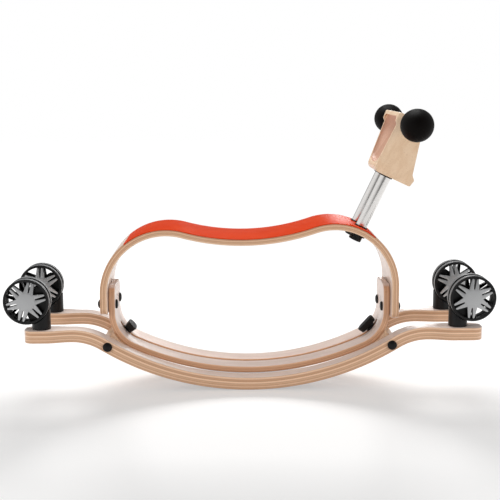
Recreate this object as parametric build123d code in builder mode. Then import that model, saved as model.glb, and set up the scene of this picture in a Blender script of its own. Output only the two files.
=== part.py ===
"""Child's bent-plywood rocking horse with castors on its rocker ends.

X points forward, Y to the rider's left, Z up. The origin is on the floor under the middle of the
rockers. Two rockers carry two crossbars. A slotted cradle is clamped down on the crossbars by two
knobs, and the seat is an arch bolted to the cradle's uprights. The handle's two tubes stand on the
front of the seat and carry a wooden head with a rubber grip on each side. Turned over, the toy runs
on the four castors that stand on the flat ends of the rockers.
"""

import os
from math import acos, asin, atan2, cos, degrees, hypot, radians, sin, sqrt

from build123d import *

os.makedirs("parts", exist_ok=True)

# ---------------------------------------------------------------- driving sizes, in millimetres
# Rockers: one large arc, a shoulder bend each way, then a flat end that carries the castors.
rocker_radius = 408.0
rocker_ply = 18.0
rocker_width = 24.0
rocker_spacing = 114.0
shoulder_radius = 75.0
flat_height = 72.0
back_tip_margin = 24.0
front_tip_margin = 34.0
paddle_half_width = 17.5
paddle_half_length = 14.0
paddle_taper = 22.0
paddle_blend = 40.0
tip_corner = 14.0
ply_edge = 1.2

# Cradle: a slotted U of thinner plywood that lies between the rockers.
cradle_ply = 9.0
cradle_half_length = 203.5
cradle_half_width = 38.5
cradle_flattening = 1.0
cradle_corner = 58.0
cradle_bottom = 17.0
cradle_top = 146.5
end_corner = 10.0
slot_width = 9.0
slot_end_angle = 23.0

# Seat: an arch of two humps with a saddle between them, faced with a coloured laminate.
seat_ply = 10.0
seat_half_width = 54.0
seat_gap = 0.8
back_hump_radius = 95.5
back_hump_height = 231.5
front_hump_radius = 92.3
front_hump_height = 238.3
saddle_radius = 322.0
back_foot_margin = 11.4
front_foot_margin = 13.2
laminate = 1.2
laminate_back_angle = 129.0
laminate_front_angle = 51.0

# Bolts, rods and their black caps.
bolt_radius = 3.0
bolt_clearance = 0.2
cap_radius = 6.8
cap_height = 3.6
cap_edge = 1.5
cap_gap = 0.05
bolt_spacing = 50.0
back_bolt_rise = 11.8
front_bolt_rise = 5.6

# Crossbars and the knobs that clamp the cradle down on them.
knob_angle = 42.0
rod_angle = 36.1
rod_wall = 3.4
crossbar_thickness = 28.0
crossbar_margin = 1.5
insert_radius = 5.0
stud_radius = 3.0
thread_clearance = 0.06
knob_seat_radius = 7.5
knob_seat_height = 1.6
knob_neck_radius = 5.2
knob_neck_height = 3.6
knob_edge = 1.5
wing_length = 27.0
wing_width = 13.5
wing_height = 9.0
seat_clearance = 0.3

# Handle: two tubes normal to the front hump.
handle_lean = 25.5
tube_radius = 8.25
tube_wall = 1.3
tube_spacing = 50.0
tube_free_length = 80.0
tube_socket = 42.0
tube_plug = 14.0
base_ring_radius = 9.8
base_ring_height = 1.6
collar_radius = 10.2
collar_height = 1.8
thumb_flange_radius = 12.2
thumb_flange_height = 2.4
thumb_body_radius = 9.2
thumb_body_height = 7.5

# Head, measured along the tubes (up) and across them (forward).
head_height = 88.0
head_back = 22.0
head_front = 35.5
head_top_back = 24.5
head_top_front = 9.0
toe_length = 13.0
toe_depth = 3.6
head_bottom_half_width = 38.0
head_top_half_width = 66.0
cheek_wall = 4.5
scoop_start = 10.0
scoop_stop = 82.0
scoop_depth = 18.0
socket_scoop_depth = 12.0

# Grips: a peg with a rubber bulb on each side of the head.
grip_height = 79.0
grip_back = 9.5
grip_reach = 128.0
grip_bulb_radius = 22.3
grip_bulb_half_length = 26.5
grip_neck_radius = 10.0
peg_radius = 4.0
peg_in_head = 20.0
peg_in_grip = 55.0

# Castors.
castor_reach = 298.0
castor_spacing = 117.0
castor_trail = 19.0
castor_lift = 0.4
barrel_radius = 13.3
barrel_height = 28.0
wheel_radius = 32.8
wheel_centre_height = 41.3
wheel_width = 9.5
wheel_gap = 0.5
wheel_clearance = 0.8
web_thickness = 5.0
web_height = 19.0
web_inset = 1.5
tyre_thickness = 2.4
tyre_edge = 1.0
rim_thickness = 1.4
spoke_pairs = 6
spoke_root_width = 8.0
spoke_tip_width = 9.4
spoke_slot_start = 12.5
spoke_slot_root = 1.6
spoke_slot_tip = 2.8
spoke_depth = 5.0
spoke_bite = 0.7
hub_radius = 8.0
axle_radius = 3.0
axle_clearance = 0.05
axle_boss_radius = 10.0
trim_hub_radius = 14.0
trim_thickness = 1.6
trim_recess = 0.4
trim_gap = 0.3
stem_radius = 5.0
stem_tip_radius = 3.0
stem_shoulder_height = 6.0
stem_height = 10.5
stem_head_radius = 7.5
stem_head_height = 3.2
stem_head_sink = 0.4
stem_head_clearance = 0.6
castor_turns = {"back_right": 14.0, "back_left": 30.0, "front_right": 25.0, "front_left": 41.0}

# ---------------------------------------------------------------- places worked out from them
rocker_centre_y = rocker_spacing / 2
rocker_inner_y = rocker_centre_y - rocker_width / 2
rocker_outer_y = rocker_centre_y + rocker_width / 2
castor_y = castor_spacing / 2
back_tip = castor_reach + back_tip_margin
front_tip = castor_reach + front_tip_margin
paddle_full = castor_reach - paddle_half_length
paddle_start = paddle_full - paddle_taper
shoulder_angle = degrees(acos(1 - flat_height / (rocker_radius + shoulder_radius)))
shoulder_x = (rocker_radius + shoulder_radius) * sin(radians(shoulder_angle))
shoulder_z = flat_height - shoulder_radius
deck_height = flat_height + rocker_ply

cradle_radius = rocker_radius + cradle_flattening
cradle_centre_z = cradle_bottom + cradle_radius
corner_x = cradle_half_length - cradle_corner
corner_z = cradle_centre_z - sqrt((cradle_radius - cradle_corner) ** 2 - corner_x**2)
corner_angle = degrees(asin(corner_x / (cradle_radius - cradle_corner)))
bolt_heights = {"front": corner_z + front_bolt_rise, "back": corner_z + back_bolt_rise}
back_foot = bolt_heights["back"] - back_foot_margin
front_foot = bolt_heights["front"] - front_foot_margin

seat_inner_x = cradle_half_length + seat_gap
back_hump = (-(seat_inner_x + seat_ply - back_hump_radius), back_hump_height - back_hump_radius)
front_hump = (seat_inner_x + seat_ply - front_hump_radius, front_hump_height - front_hump_radius)

knob_down = (cos(radians(knob_angle)), -sin(radians(knob_angle)))

# Each rod stands on the middle line of the rocker's ply, in a set direction from the corner bend's centre.
rod_down = (cos(radians(rod_angle)), -sin(radians(rod_angle)))
corner_drop = corner_z - rocker_radius
toward_rod = corner_x * rod_down[0] + corner_drop * rod_down[1]
middle_radius = rocker_radius - rocker_ply / 2
rod_reach = sqrt(toward_rod**2 - corner_x**2 - corner_drop**2 + middle_radius**2) - toward_rod
rod_x = corner_x + rod_reach * rod_down[0]
rod_z = corner_z + rod_reach * rod_down[1]
insert_length = rod_reach * cos(radians(knob_angle - rod_angle)) - rod_wall - cradle_corner

lean = radians(handle_lean)
handle_up = (sin(lean), 0, cos(lean))
handle_forward = (cos(lean), 0, -sin(lean))


def on_hump_front(distance, y=0.0):
    """A point on a handle tube's axis, at a distance from the front hump's centre."""
    return (front_hump[0] + distance * sin(lean), y, front_hump[1] + distance * cos(lean))


head_distance = front_hump_radius + base_ring_height + tube_free_length
sides = {"left": 1, "right": -1}
ends = {"front": 1, "back": -1}


def finish(piece, label):
    """Name a finished piece and write it out."""
    piece.label = label
    export_step(piece, f"parts/{label}.step")


def arc(centre, radius, start, stop):
    """An arc about a centre, from one polar angle to another in degrees."""
    return CenterArc(centre, radius, start, stop - start)


# ---------------------------------------------------------------- rockers
def rocker_profile():
    """The bent strip seen from the side: both faces of the ply, closed at the two tips."""
    top_radius = rocker_radius - rocker_ply
    shoulder_top = shoulder_radius + rocker_ply
    middle = (0, rocker_radius)
    turn = 90 - shoulder_angle
    arc(middle, rocker_radius, 270 - shoulder_angle, 270 + shoulder_angle)
    arc(middle, top_radius, 270 - shoulder_angle, 270 + shoulder_angle)
    arc((shoulder_x, shoulder_z), shoulder_radius, 90, 180 - turn)
    arc((shoulder_x, shoulder_z), shoulder_top, 90, 180 - turn)
    arc((-shoulder_x, shoulder_z), shoulder_radius, turn, 90)
    arc((-shoulder_x, shoulder_z), shoulder_top, turn, 90)
    for tip, inner in ((-back_tip, -shoulder_x), (front_tip, shoulder_x)):
        Polyline((inner, flat_height), (tip, flat_height), (tip, deck_height), (inner, deck_height))


def rocker_plan(side):
    """The strip seen from above: even along its length, and widened at both ends round the castors."""
    strip = (side * rocker_outer_y, side * rocker_inner_y)
    paddle = (side * (castor_y + paddle_half_width), side * (castor_y - paddle_half_width))
    for edge in (0, 1):
        Polyline(
            (-back_tip, paddle[edge]),
            (-paddle_full, paddle[edge]),
            (-paddle_start, strip[edge]),
            (paddle_start, strip[edge]),
            (paddle_full, paddle[edge]),
            (front_tip, paddle[edge]),
        )
    for tip in (-back_tip, front_tip):
        Line((tip, paddle[0]), (tip, paddle[1]))


for name, side in sides.items():
    with BuildPart() as rocker:
        with BuildSketch(Plane.XZ.offset(-side * castor_y)):
            with BuildLine():
                rocker_profile()
            make_face()
        extrude(amount=2 * paddle_half_width, both=True)
        with BuildSketch(Plane.XY.offset(-rocker_ply)) as plan:
            with BuildLine():
                rocker_plan(side)
            make_face()
            columns = plan.vertices().group_by(Axis.X)
            fillet(columns[0] + columns[-1], tip_corner)
            blends = [corner for corner in plan.vertices() if abs(corner.X) < paddle_full + 0.01]
            fillet(blends, paddle_blend)
        extrude(amount=deck_height + 2 * rocker_ply, mode=Mode.INTERSECT)
        # Easing one long arc of each face carries on round its whole outline.
        round_edges = rocker.edges().filter_by(GeomType.CIRCLE)
        long_arcs = [edge for edge in round_edges if edge.radius > rocker_radius / 2]
        fillet(long_arcs, ply_edge)
        with BuildSketch(Plane.XZ.offset(-side * rocker_centre_y)):
            with Locations((-rod_x, rod_z), (rod_x, rod_z)):
                Circle(bolt_radius + bolt_clearance)
        extrude(amount=rocker_width, both=True, mode=Mode.SUBTRACT)
        for end in ends.values():
            # The stem's hole is bored wider below, so that its bolt head stands clear of the flat face.
            with BuildSketch(Plane.XY.offset(flat_height)):
                with Locations((end * castor_reach, side * castor_y)):
                    Circle(stem_radius + bolt_clearance)
            extrude(amount=2 * rocker_ply, mode=Mode.SUBTRACT)
            with BuildSketch(Plane.XY.offset(flat_height)):
                with Locations((end * castor_reach, side * castor_y)):
                    Circle(stem_head_radius + stem_head_clearance)
            extrude(amount=stem_head_height + stem_head_sink, mode=Mode.SUBTRACT)
    finish(rocker.part, f"rocker_{name}")


# ---------------------------------------------------------------- cradle
def cradle_face(inset):
    """One face of the cradle's strip, from upright to upright, set in from its outside."""
    half = cradle_half_length - inset
    corner = cradle_corner - inset
    bottom = cradle_radius - inset
    Line((-half, cradle_top), (-half, corner_z))
    arc((-corner_x, corner_z), corner, 180, 270 - corner_angle)
    arc((0, cradle_centre_z), bottom, 270 - corner_angle, 270 + corner_angle)
    arc((corner_x, corner_z), corner, 270 + corner_angle, 360)
    Line((half, corner_z), (half, cradle_top))


with BuildPart() as cradle:
    with BuildSketch(Plane.XZ):
        with BuildLine():
            cradle_face(0)
            cradle_face(cradle_ply)
            for sign in ends.values():
                outside = sign * cradle_half_length
                Line((outside, cradle_top), (outside - sign * cradle_ply, cradle_top))
        make_face()
    extrude(amount=cradle_half_width, both=True)
    top_corners = cradle.edges().filter_by(Axis.X)
    fillet(top_corners, end_corner)
    # The slot runs along the whole bottom and a little way up both corners.
    slot_x = corner_x + cradle_corner * cos(radians(slot_end_angle))
    slot_z = corner_z - cradle_corner * sin(radians(slot_end_angle))
    with BuildSketch(Plane.XZ):
        with BuildLine():
            Polyline((-slot_x, slot_z), (slot_x, slot_z), (slot_x, 0), (-slot_x, 0), close=True)
        make_face()
    extrude(amount=slot_width / 2, both=True, mode=Mode.SUBTRACT)
    for name, sign in ends.items():
        with BuildSketch(Plane.YZ.offset(sign * cradle_half_length)):
            with Locations((0, bolt_heights[name])):
                with GridLocations(bolt_spacing, 0, 2, 1):
                    Circle(bolt_radius + bolt_clearance)
        extrude(amount=2 * cradle_ply, both=True, mode=Mode.SUBTRACT)
    cradle_edges = cradle.faces().filter_by(Axis.Y).sort_by(Axis.Y)
    fillet(cradle_edges[0].edges() + cradle_edges[-1].edges(), ply_edge)
finish(cradle.part, "cradle")


# ---------------------------------------------------------------- seat
def saddle_joints(back_radius, front_radius, dip_radius):
    """Centre of the saddle's arc, which touches both humps, and its two polar angles."""
    back_reach = dip_radius + back_radius
    front_reach = dip_radius + front_radius
    run = front_hump[0] - back_hump[0]
    rise = front_hump[1] - back_hump[1]
    apart = hypot(run, rise)
    along = (back_reach**2 - front_reach**2 + apart**2) / (2 * apart)
    above = sqrt(back_reach**2 - along**2)
    x = back_hump[0] + (along * run - above * rise) / apart
    z = back_hump[1] + (along * rise + above * run) / apart
    to_back = degrees(atan2(back_hump[1] - z, back_hump[0] - x)) % 360
    to_front = degrees(atan2(front_hump[1] - z, front_hump[0] - x)) % 360
    return (x, z), to_back, to_front


def seat_face(inset, back_start=180.0, front_stop=0.0):
    """One face of the seat's strip over both humps, set in from its outside."""
    centre, to_back, to_front = saddle_joints(back_hump_radius, front_hump_radius, saddle_radius)
    arc(back_hump, back_hump_radius - inset, back_start, to_back - 180)
    arc(centre, saddle_radius + inset, to_back, to_front)
    arc(front_hump, front_hump_radius - inset, to_front - 180, front_stop)


def on_circle(centre, radius, angle):
    """The point at a polar angle of a circle, in degrees."""
    return (centre[0] + radius * cos(radians(angle)), centre[1] + radius * sin(radians(angle)))


def tube_sketch(radius):
    """Circles at the two handle tubes' axes, drawn on a plane square to them."""
    with GridLocations(0, tube_spacing, 1, 2):
        Circle(radius)


with BuildPart() as seat_frame:
    with BuildSketch(Plane.XZ):
        with BuildLine():
            seat_face(0)
            seat_face(seat_ply)
            for sign, hump, foot in ((-1, back_hump, back_foot), (1, front_hump, front_foot)):
                inner, outer = sign * seat_inner_x, sign * (seat_inner_x + seat_ply)
                Polyline((outer, hump[1]), (outer, foot), (inner, foot), (inner, hump[1]))
        make_face()
    extrude(amount=seat_half_width, both=True)
    foot_corners = seat_frame.edges().filter_by(Axis.X)
    fillet(foot_corners, end_corner)
    for name, sign in ends.items():
        with BuildSketch(Plane.YZ.offset(sign * seat_inner_x)):
            with Locations((0, bolt_heights[name])):
                with GridLocations(bolt_spacing, 0, 2, 1):
                    Circle(bolt_radius + bolt_clearance)
        extrude(amount=2 * seat_ply, both=True, mode=Mode.SUBTRACT)
    with BuildSketch(Plane(origin=on_hump_front(front_hump_radius), x_dir=handle_forward, z_dir=handle_up)):
        tube_sketch(stud_radius + bolt_clearance)
    extrude(amount=2 * seat_ply, both=True, mode=Mode.SUBTRACT)
    seat_edges = seat_frame.faces().filter_by(Axis.Y).sort_by(Axis.Y)
    fillet(seat_edges[0].edges() + seat_edges[-1].edges(), ply_edge)
    # The laminate lies in the outer face, flush with the wood beyond its ends.
    with BuildSketch(Plane.XZ) as laminate_profile:
        with BuildLine():
            seat_face(-1, laminate_back_angle, laminate_front_angle)
            seat_face(laminate, laminate_back_angle, laminate_front_angle)
            for centre, radius, angle in (
                (back_hump, back_hump_radius, laminate_back_angle),
                (front_hump, front_hump_radius, laminate_front_angle),
            ):
                Line(on_circle(centre, radius + 1, angle), on_circle(centre, radius - laminate, angle))
        make_face()
    extrude(amount=2 * seat_half_width, both=True, mode=Mode.SUBTRACT)
finish(seat_frame.part, "seat_frame")

with BuildPart() as seat_laminate:
    with BuildSketch(Plane.XZ):
        with BuildLine():
            seat_face(0, laminate_back_angle, laminate_front_angle)
            seat_face(laminate, laminate_back_angle, laminate_front_angle)
            for centre, radius, angle in (
                (back_hump, back_hump_radius, laminate_back_angle),
                (front_hump, front_hump_radius, laminate_front_angle),
            ):
                Line(on_circle(centre, radius, angle), on_circle(centre, radius - laminate, angle))
        make_face()
    extrude(amount=seat_half_width - ply_edge / 2, both=True)
    with BuildSketch(Plane(origin=on_hump_front(front_hump_radius), x_dir=handle_forward, z_dir=handle_up)):
        tube_sketch(stud_radius + bolt_clearance)
    extrude(amount=seat_ply, both=True, mode=Mode.SUBTRACT)
finish(seat_laminate.part, "seat_laminate")


# ---------------------------------------------------------------- crossbars, rods, bolts and caps
def knob_plane(sign, distance):
    """A plane square to a clamp knob's axis, at a distance from the corner bend's centre."""
    down = (sign * knob_down[0], 0, knob_down[1])
    origin = (sign * corner_x + distance * down[0], 0, corner_z + distance * down[2])
    return Plane(origin=origin, x_dir=(0, 1, 0), z_dir=down)


for name, sign in ends.items():
    with BuildPart() as crossbar:
        with BuildSketch(knob_plane(sign, cradle_corner - cradle_ply)):
            Rectangle(2 * rocker_inner_y, crossbar_thickness)
        extrude(amount=2 * crossbar_thickness)
        # Above, the block is hollowed to the cradle's corner bend; below, it stays inside the rockers.
        with BuildSketch(Plane.XZ):
            with Locations((sign * corner_x, corner_z)):
                Circle(cradle_corner)
        extrude(amount=rocker_spacing, both=True, mode=Mode.SUBTRACT)
        with BuildSketch(Plane.XZ):
            with Locations((0, rocker_radius)):
                Circle(rocker_radius - crossbar_margin)
        extrude(amount=rocker_spacing, both=True, mode=Mode.INTERSECT)
        with BuildSketch(Plane.XZ):
            with Locations((sign * rod_x, rod_z)):
                Circle(bolt_radius + bolt_clearance)
        extrude(amount=rocker_spacing, both=True, mode=Mode.SUBTRACT)
        with BuildSketch(knob_plane(sign, cradle_corner - 1)):
            Circle(insert_radius)
        extrude(amount=insert_length + 1, mode=Mode.SUBTRACT)
    finish(crossbar.part, f"crossbar_{name}")

with BuildPart() as clamp_inserts:
    for sign in ends.values():
        with BuildSketch(knob_plane(sign, cradle_corner + seat_clearance)):
            Circle(insert_radius)
            Circle(stud_radius + thread_clearance, mode=Mode.SUBTRACT)
        extrude(amount=insert_length - seat_clearance)
finish(clamp_inserts.part, "clamp_inserts")

with BuildPart() as crossbar_rods:
    for sign in ends.values():
        with BuildSketch(Plane.XZ):
            with Locations((sign * rod_x, rod_z)):
                Circle(bolt_radius)
        extrude(amount=rocker_outer_y + cap_height / 2, both=True)
finish(crossbar_rods.part, "crossbar_rods")

with BuildPart() as side_bolts:
    for name, sign in ends.items():
        start = cradle_half_length - cradle_ply - cap_height / 2
        with BuildSketch(Plane.YZ.offset(sign * start)):
            with Locations((0, bolt_heights[name])):
                with GridLocations(bolt_spacing, 0, 2, 1):
                    Circle(bolt_radius)
        extrude(amount=sign * (cradle_ply + seat_gap + seat_ply + cap_height))
finish(side_bolts.part, "side_bolts")


def cap_planes():
    """Where the black caps sit: on the rockers, and inside and outside each pair of uprights."""
    for side in sides.values():
        for sign in ends.values():
            on_rocker = (sign * rod_x, side * (rocker_outer_y + cap_gap), rod_z)
            yield Plane(origin=on_rocker, x_dir=(1, 0, 0), z_dir=(0, side, 0))
    for name, sign in ends.items():
        for y in (-bolt_spacing / 2, bolt_spacing / 2):
            inside = (sign * (cradle_half_length - cradle_ply - cap_gap), y, bolt_heights[name])
            outside = (sign * (seat_inner_x + seat_ply + cap_gap), y, bolt_heights[name])
            yield Plane(origin=inside, x_dir=(0, 1, 0), z_dir=(-sign, 0, 0))
            yield Plane(origin=outside, x_dir=(0, 1, 0), z_dir=(sign, 0, 0))


with BuildPart() as bolt_caps:
    for plane in cap_planes():
        with BuildSketch(plane):
            Circle(cap_radius)
        extrude(amount=cap_height)
    rims = bolt_caps.edges().filter_by(GeomType.CIRCLE)
    outer_rims = [edge for edge in rims if abs(edge.radius - cap_radius) < 0.01]
    # The rim away from the wood is rounded; the one on the wood stays sharp.
    seats = [plane.origin for plane in cap_planes()]
    free_rims = [edge for edge in outer_rims if min((edge.arc_center - seat).length for seat in seats) > 0.5]
    fillet(free_rims, cap_edge)
    for plane in cap_planes():
        with BuildSketch(plane):
            Circle(bolt_radius + bolt_clearance)
        extrude(amount=cap_height / 2 + bolt_clearance, mode=Mode.SUBTRACT)
finish(bolt_caps.part, "bolt_caps")

# ---------------------------------------------------------------- clamp knobs
for name, sign in ends.items():
    bend_inside = cradle_corner - cradle_ply
    sagitta = bend_inside - sqrt(bend_inside**2 - knob_seat_radius**2)
    foot = bend_inside - sagitta - seat_clearance
    with BuildPart() as clamp_knob:
        with BuildSketch(knob_plane(sign, foot)):
            Circle(knob_seat_radius)
        extrude(amount=-knob_seat_height)
        with BuildSketch(knob_plane(sign, foot)):
            Circle(knob_neck_radius)
        extrude(amount=-knob_neck_height)
        # The wing tapers a little towards its cap; the back knob happens to stand a quarter turn round.
        wing_turn = 90 if sign > 0 else 0
        with BuildSketch(knob_plane(sign, foot - knob_neck_height)):
            SlotOverall(wing_length, wing_width, rotation=wing_turn)
        extrude(amount=-wing_height, taper=-8)
        with BuildSketch(knob_plane(sign, foot)):
            Circle(stud_radius)
        extrude(amount=-wing_height / 2, mode=Mode.SUBTRACT)
        cap_distance = foot - knob_neck_height - wing_height
        cap_face = knob_plane(sign, cap_distance)
        cap_rim = [e for e in clamp_knob.edges() if abs(cap_face.to_local_coords(e.center()).Z) < 0.01]
        fillet(cap_rim, knob_edge)
    finish(clamp_knob.part, f"clamp_knob_{name}")
    with BuildPart() as clamp_stud:
        with BuildSketch(knob_plane(sign, foot - wing_height / 2)):
            Circle(stud_radius)
        extrude(amount=cradle_corner + insert_length - 1 - (foot - wing_height / 2))
    finish(clamp_stud.part, f"clamp_stud_{name}")


# ---------------------------------------------------------------- handle
def handle_plane(distance, y=0.0):
    """A plane square to the handle tubes, at a distance from the front hump's centre."""
    return Plane(origin=on_hump_front(distance, y), x_dir=handle_forward, z_dir=handle_up)


tube_start = front_hump_radius + seat_clearance
with BuildPart() as handle_tubes:
    with BuildSketch(handle_plane(tube_start)):
        tube_sketch(tube_radius)
    extrude(amount=head_distance + tube_socket - tube_start)
    with BuildSketch(handle_plane(tube_start + tube_plug)):
        tube_sketch(tube_radius - tube_wall)
    extrude(amount=head_distance + tube_socket, mode=Mode.SUBTRACT)
    with BuildSketch(handle_plane(tube_start)):
        tube_sketch(stud_radius + thread_clearance)
    extrude(amount=tube_plug, mode=Mode.SUBTRACT)
finish(handle_tubes.part, "handle_tubes")

with BuildPart() as base_rings:
    with BuildSketch(handle_plane(front_hump_radius - base_ring_height)):
        tube_sketch(base_ring_radius)
        with GridLocations(0, tube_spacing, 1, 2):
            Circle(tube_radius, mode=Mode.SUBTRACT)
    extrude(amount=2 * base_ring_height)
    with BuildSketch(Plane.XZ):
        with Locations(front_hump):
            Circle(front_hump_radius)
    extrude(amount=seat_half_width, both=True, mode=Mode.SUBTRACT)
finish(base_rings.part, "base_rings")

with BuildPart() as head_collars:
    with BuildSketch(handle_plane(head_distance - collar_height)):
        tube_sketch(collar_radius)
        with GridLocations(0, tube_spacing, 1, 2):
            Circle(tube_radius, mode=Mode.SUBTRACT)
    extrude(amount=collar_height)
finish(head_collars.part, "head_collars")

for name, side in sides.items():
    inner_radius = front_hump_radius - seat_ply
    sagitta = inner_radius - sqrt(inner_radius**2 - thumb_flange_radius**2)
    top = inner_radius - sagitta - seat_clearance
    y = side * tube_spacing / 2
    with BuildPart() as thumb_knob:
        with BuildSketch(handle_plane(top, y)):
            Circle(thumb_flange_radius)
        extrude(amount=-thumb_flange_height)
        with BuildSketch(handle_plane(top - thumb_flange_height, y)):
            Circle(thumb_body_radius)
        extrude(amount=-thumb_body_height)
        bottom = handle_plane(top - thumb_flange_height - thumb_body_height, y)
        rim = [e for e in thumb_knob.edges() if abs(bottom.to_local_coords(e.center()).Z) < 0.01]
        fillet(rim, knob_edge)
        with BuildSketch(handle_plane(top, y)):
            Circle(stud_radius)
        extrude(amount=-thumb_body_height, mode=Mode.SUBTRACT)
    finish(thumb_knob.part, f"thumb_knob_{name}")
    with BuildPart() as thumb_stud:
        with BuildSketch(handle_plane(top - thumb_body_height, y)):
            Circle(stud_radius)
        extrude(amount=tube_start + tube_plug - 2 - (top - thumb_body_height))
    finish(thumb_stud.part, f"thumb_stud_{name}")

# ---------------------------------------------------------------- head
side_view = Plane(origin=on_hump_front(head_distance), x_dir=handle_forward, z_dir=(0, -1, 0))
rear_view = Plane(origin=on_hump_front(head_distance), x_dir=(0, 1, 0), z_dir=handle_forward)
flare = (head_top_half_width - head_bottom_half_width) / head_height
wall_y = head_bottom_half_width + flare * grip_height
peg_origin = tuple(handle_plane(head_distance + grip_height).from_local_coords((-grip_back, 0, 0)))
# Height, share of the width between the cheeks, and depth of each section of the scoop.
scoop_sections = (
    (scoop_start, 0.35, 0.12 * scoop_depth),
    (scoop_start + 3, 0.70, 0.35 * scoop_depth),
    (scoop_start + 9, 0.93, 0.9 * socket_scoop_depth),
    (scoop_start + 22, 1.0, socket_scoop_depth),
    (tube_socket + 2, 1.0, socket_scoop_depth + 1),
    (scoop_stop - 20, 1.0, scoop_depth),
    (scoop_stop - 6, 0.98, 0.7 * scoop_depth),
    (scoop_stop, 0.9, 0.15 * scoop_depth),
)

with BuildPart() as head:
    with BuildSketch(side_view):
        with BuildLine():
            Polyline(
                (-head_back, 0),
                (head_front, 0),
                (head_front + 1.5, toe_length * 0.8),
                (head_front - 4.5, toe_length + toe_depth),
                (head_top_front, head_height),
                (-head_top_back - toe_depth, head_height),
                (-head_top_back - toe_depth + 0.5, head_height - toe_length),
                (-head_top_back + 0.5, head_height - toe_length - toe_depth),
                close=True,
            )
        make_face()
        fillet(vertices(), 2.5)
    extrude(amount=head_top_half_width + 5, both=True)
    with BuildSketch(rear_view):
        with BuildLine():
            Polyline(
                (-head_bottom_half_width, 0),
                (head_bottom_half_width, 0),
                (head_top_half_width, head_height),
                (-head_top_half_width, head_height),
                close=True,
            )
        make_face()
    extrude(amount=2 * head_front, both=True, mode=Mode.INTERSECT)
    # The rider's side is scooped out between two thin cheeks, deepest above the ends of the tubes.
    for height, width_share, depth in scoop_sections:
        half_width = head_bottom_half_width + flare * height - cheek_wall
        back = head_back + (head_top_back - head_back) * height / head_height
        with BuildSketch(handle_plane(head_distance + height)):
            with Locations((-back - 1, 0)):
                Ellipse(depth + 1, half_width * width_share)
    loft(mode=Mode.SUBTRACT)
    with BuildSketch(handle_plane(head_distance)):
        tube_sketch(tube_radius)
    extrude(amount=tube_socket, mode=Mode.SUBTRACT)
    for side in sides.values():
        peg_plane = Plane(origin=peg_origin, x_dir=(1, 0, 0), z_dir=(0, side, 0))
        with BuildSketch(peg_plane.offset(wall_y - peg_in_head)):
            Circle(peg_radius)
        extrude(amount=2 * peg_in_head, mode=Mode.SUBTRACT)
finish(head.part, "head")

for name, side in sides.items():
    with BuildPart() as grip:
        bulb_start = sqrt(1 - (grip_neck_radius / grip_bulb_radius) ** 2) * grip_bulb_half_length
        with BuildSketch(Plane(origin=peg_origin, x_dir=(0, side, 0), z_dir=(0, 0, 1))):
            with BuildLine():
                neck_start = wall_y - grip_neck_radius / 2
                neck_end = (grip_reach - bulb_start, grip_neck_radius)
                Polyline((neck_start, 0), (neck_start, grip_neck_radius), neck_end)
                EllipticalCenterArc(
                    (grip_reach, 0), grip_bulb_half_length, grip_bulb_radius,
                    arc_size=180 - degrees(asin(grip_neck_radius / grip_bulb_radius)),
                )
                Line((neck_start, 0), (grip_reach + grip_bulb_half_length, 0))
            make_face()
        revolve(axis=Axis(peg_origin, (0, 1, 0)))
        # The neck ends on the head's sloping cheek.
        cheek = Plane(
            origin=(side_view.origin.X, side * head_bottom_half_width, side_view.origin.Z),
            x_dir=handle_forward,
            z_dir=(-sin(lean) * flare, side, -cos(lean) * flare),
        )
        split(bisect_by=cheek, keep=Keep.TOP)
        with BuildSketch(Plane(origin=peg_origin, x_dir=(1, 0, 0), z_dir=(0, side, 0))):
            Circle(peg_radius)
        extrude(amount=wall_y + peg_in_grip, mode=Mode.SUBTRACT)
    finish(grip.part, f"grip_{name}")

with BuildPart() as grip_pegs:
    for side in sides.values():
        start = wall_y - peg_in_head + 1
        with BuildSketch(Plane(origin=peg_origin, x_dir=(1, 0, 0), z_dir=(0, side, 0)).offset(start)):
            Circle(peg_radius)
        extrude(amount=wall_y + peg_in_grip - 1 - start)
finish(grip_pegs.part, "grip_pegs")

# ---------------------------------------------------------------- castors
corners = {f"{end}_{side}": (ends[end], sides[side]) for end in ends for side in sides}
barrel_base = deck_height + castor_lift
wheel_z = deck_height + wheel_centre_height
axle_height = wheel_centre_height - castor_lift
pair_width = web_thickness + 2 * (wheel_gap + wheel_width)
rim_outer = wheel_radius - tyre_thickness
rim_inner = rim_outer - rim_thickness
trim_reach = sqrt((rim_inner - trim_gap) ** 2 - (spoke_tip_width / 2) ** 2)


with BuildPart() as castor_stems:
    for sign, side in corners.values():
        foot = (sign * castor_reach, side * castor_y)
        with BuildSketch(Plane.XY.offset(flat_height + stem_head_sink)):
            with Locations(foot):
                RegularPolygon(stem_head_radius, 6)
        extrude(amount=stem_head_height)
        with BuildSketch(Plane.XY.offset(flat_height + stem_head_sink)):
            with Locations(foot):
                Circle(stem_radius)
        extrude(amount=rocker_ply - stem_head_sink + stem_shoulder_height)
        with BuildSketch(Plane.XY.offset(deck_height)):
            with Locations(foot):
                Circle(stem_tip_radius)
        extrude(amount=stem_height)
finish(castor_stems.part, "castor_stems")


def star(reach, turn):
    """A hub disc with pairs of arms, each pair a little wider at the rim and split by a tapering slot."""
    Circle(trim_hub_radius)
    with PolarLocations(0, spoke_pairs, start_angle=turn):
        root, tip = spoke_root_width / 2, spoke_tip_width / 2
        Polygon((0, -root), (reach, -tip), (reach, tip), (0, root))
    with PolarLocations(0, spoke_pairs, start_angle=turn):
        root, tip = spoke_slot_root / 2, spoke_slot_tip / 2
        slot = ((spoke_slot_start, -root), (reach + 1, -tip), (reach + 1, tip), (spoke_slot_start, root))
        Polygon(*slot, mode=Mode.SUBTRACT)


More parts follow.
